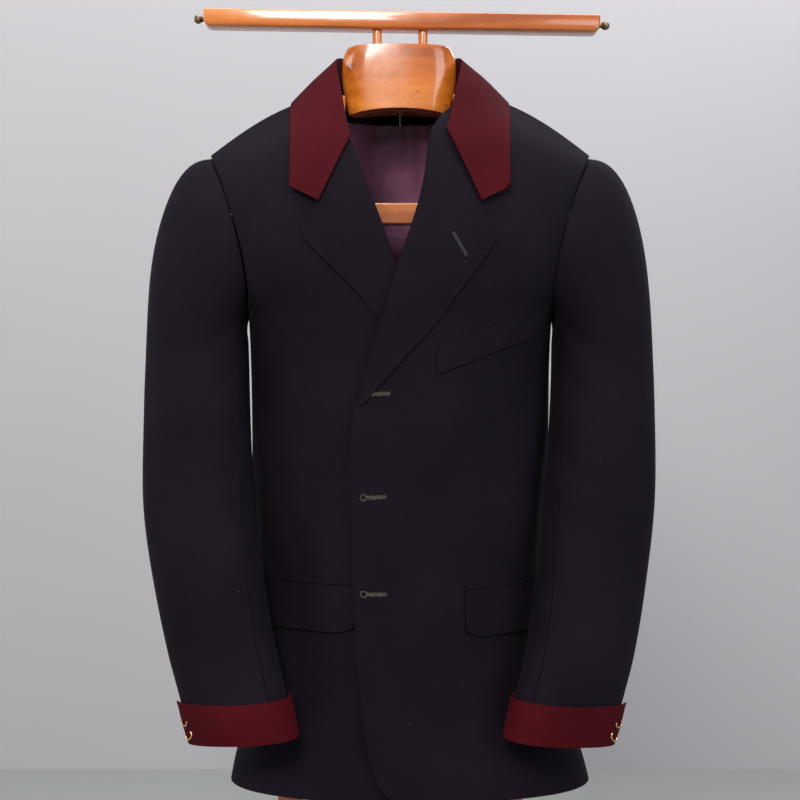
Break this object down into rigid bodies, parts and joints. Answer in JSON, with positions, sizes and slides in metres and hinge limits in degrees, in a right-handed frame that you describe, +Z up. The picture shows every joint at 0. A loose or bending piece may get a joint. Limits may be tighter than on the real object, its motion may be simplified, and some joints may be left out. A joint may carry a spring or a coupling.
{
  "type": "hunting coat on a wooden valet stand",
  "caption": "Dark navy wool hunting coat with maroon collar and turned-back cuffs, hung unbuttoned on a free-standing wooden valet stand.",
  "frame": {"origin": "middle of the bounding box's underside, on the floor", "axes": "+Z up, -Y out of the coat's front, +X to the wearer's left"},
  "size_m": [0.5704, 0.356, 1.1923],
  "materials": {
    "navy_wool": "milled near-black navy wool",
    "maroon_cloth": "napped maroon face cloth",
    "satin": "dark aubergine satin lining",
    "horn": "polished dark horn",
    "gilt": "bright gilt wire",
    "varnished_wood": "glossy orange-brown varnish over fine grain",
    "aged_brass": "dark antique brass"
  },
  "bodies": {
    "root": {"front_left": "navy_wool", "front_right": "navy_wool", "back_left": "navy_wool", "back_right": "navy_wool", "sleeve_top_left": "navy_wool", "sleeve_top_right": "navy_wool", "sleeve_under_left": "navy_wool", "sleeve_under_right": "navy_wool", "cuff_left": "maroon_cloth", "cuff_right": "maroon_cloth", "collar": "maroon_cloth", "lapel_left": "navy_wool", "lapel_right": "navy_wool", "breast_welt": "navy_wool", "flap_left": "navy_wool", "flap_right": "navy_wool", "jet_left": "navy_wool", "jet_right": "navy_wool", "lining_back": "satin", "button_top": "horn", "button_middle": "horn", "button_bottom": "horn", "pin_left_upper": "gilt", "pin_left_lower": "gilt", "pin_right_upper": "gilt", "pin_right_lower": "gilt", "trouser_bar": "varnished_wood", "knob_left": "aged_brass", "knob_right": "aged_brass", "neck_block": "varnished_wood", "peg_left": "varnished_wood", "peg_right": "varnished_wood", "hanger_left": "varnished_wood", "hanger_right": "varnished_wood", "post_left": "varnished_wood", "post_right": "varnished_wood", "foot_left": "varnished_wood", "foot_right": "varnished_wood", "chest_bar": "varnished_wood", "base_rail": "varnished_wood"}
  },
  "joints": []
}
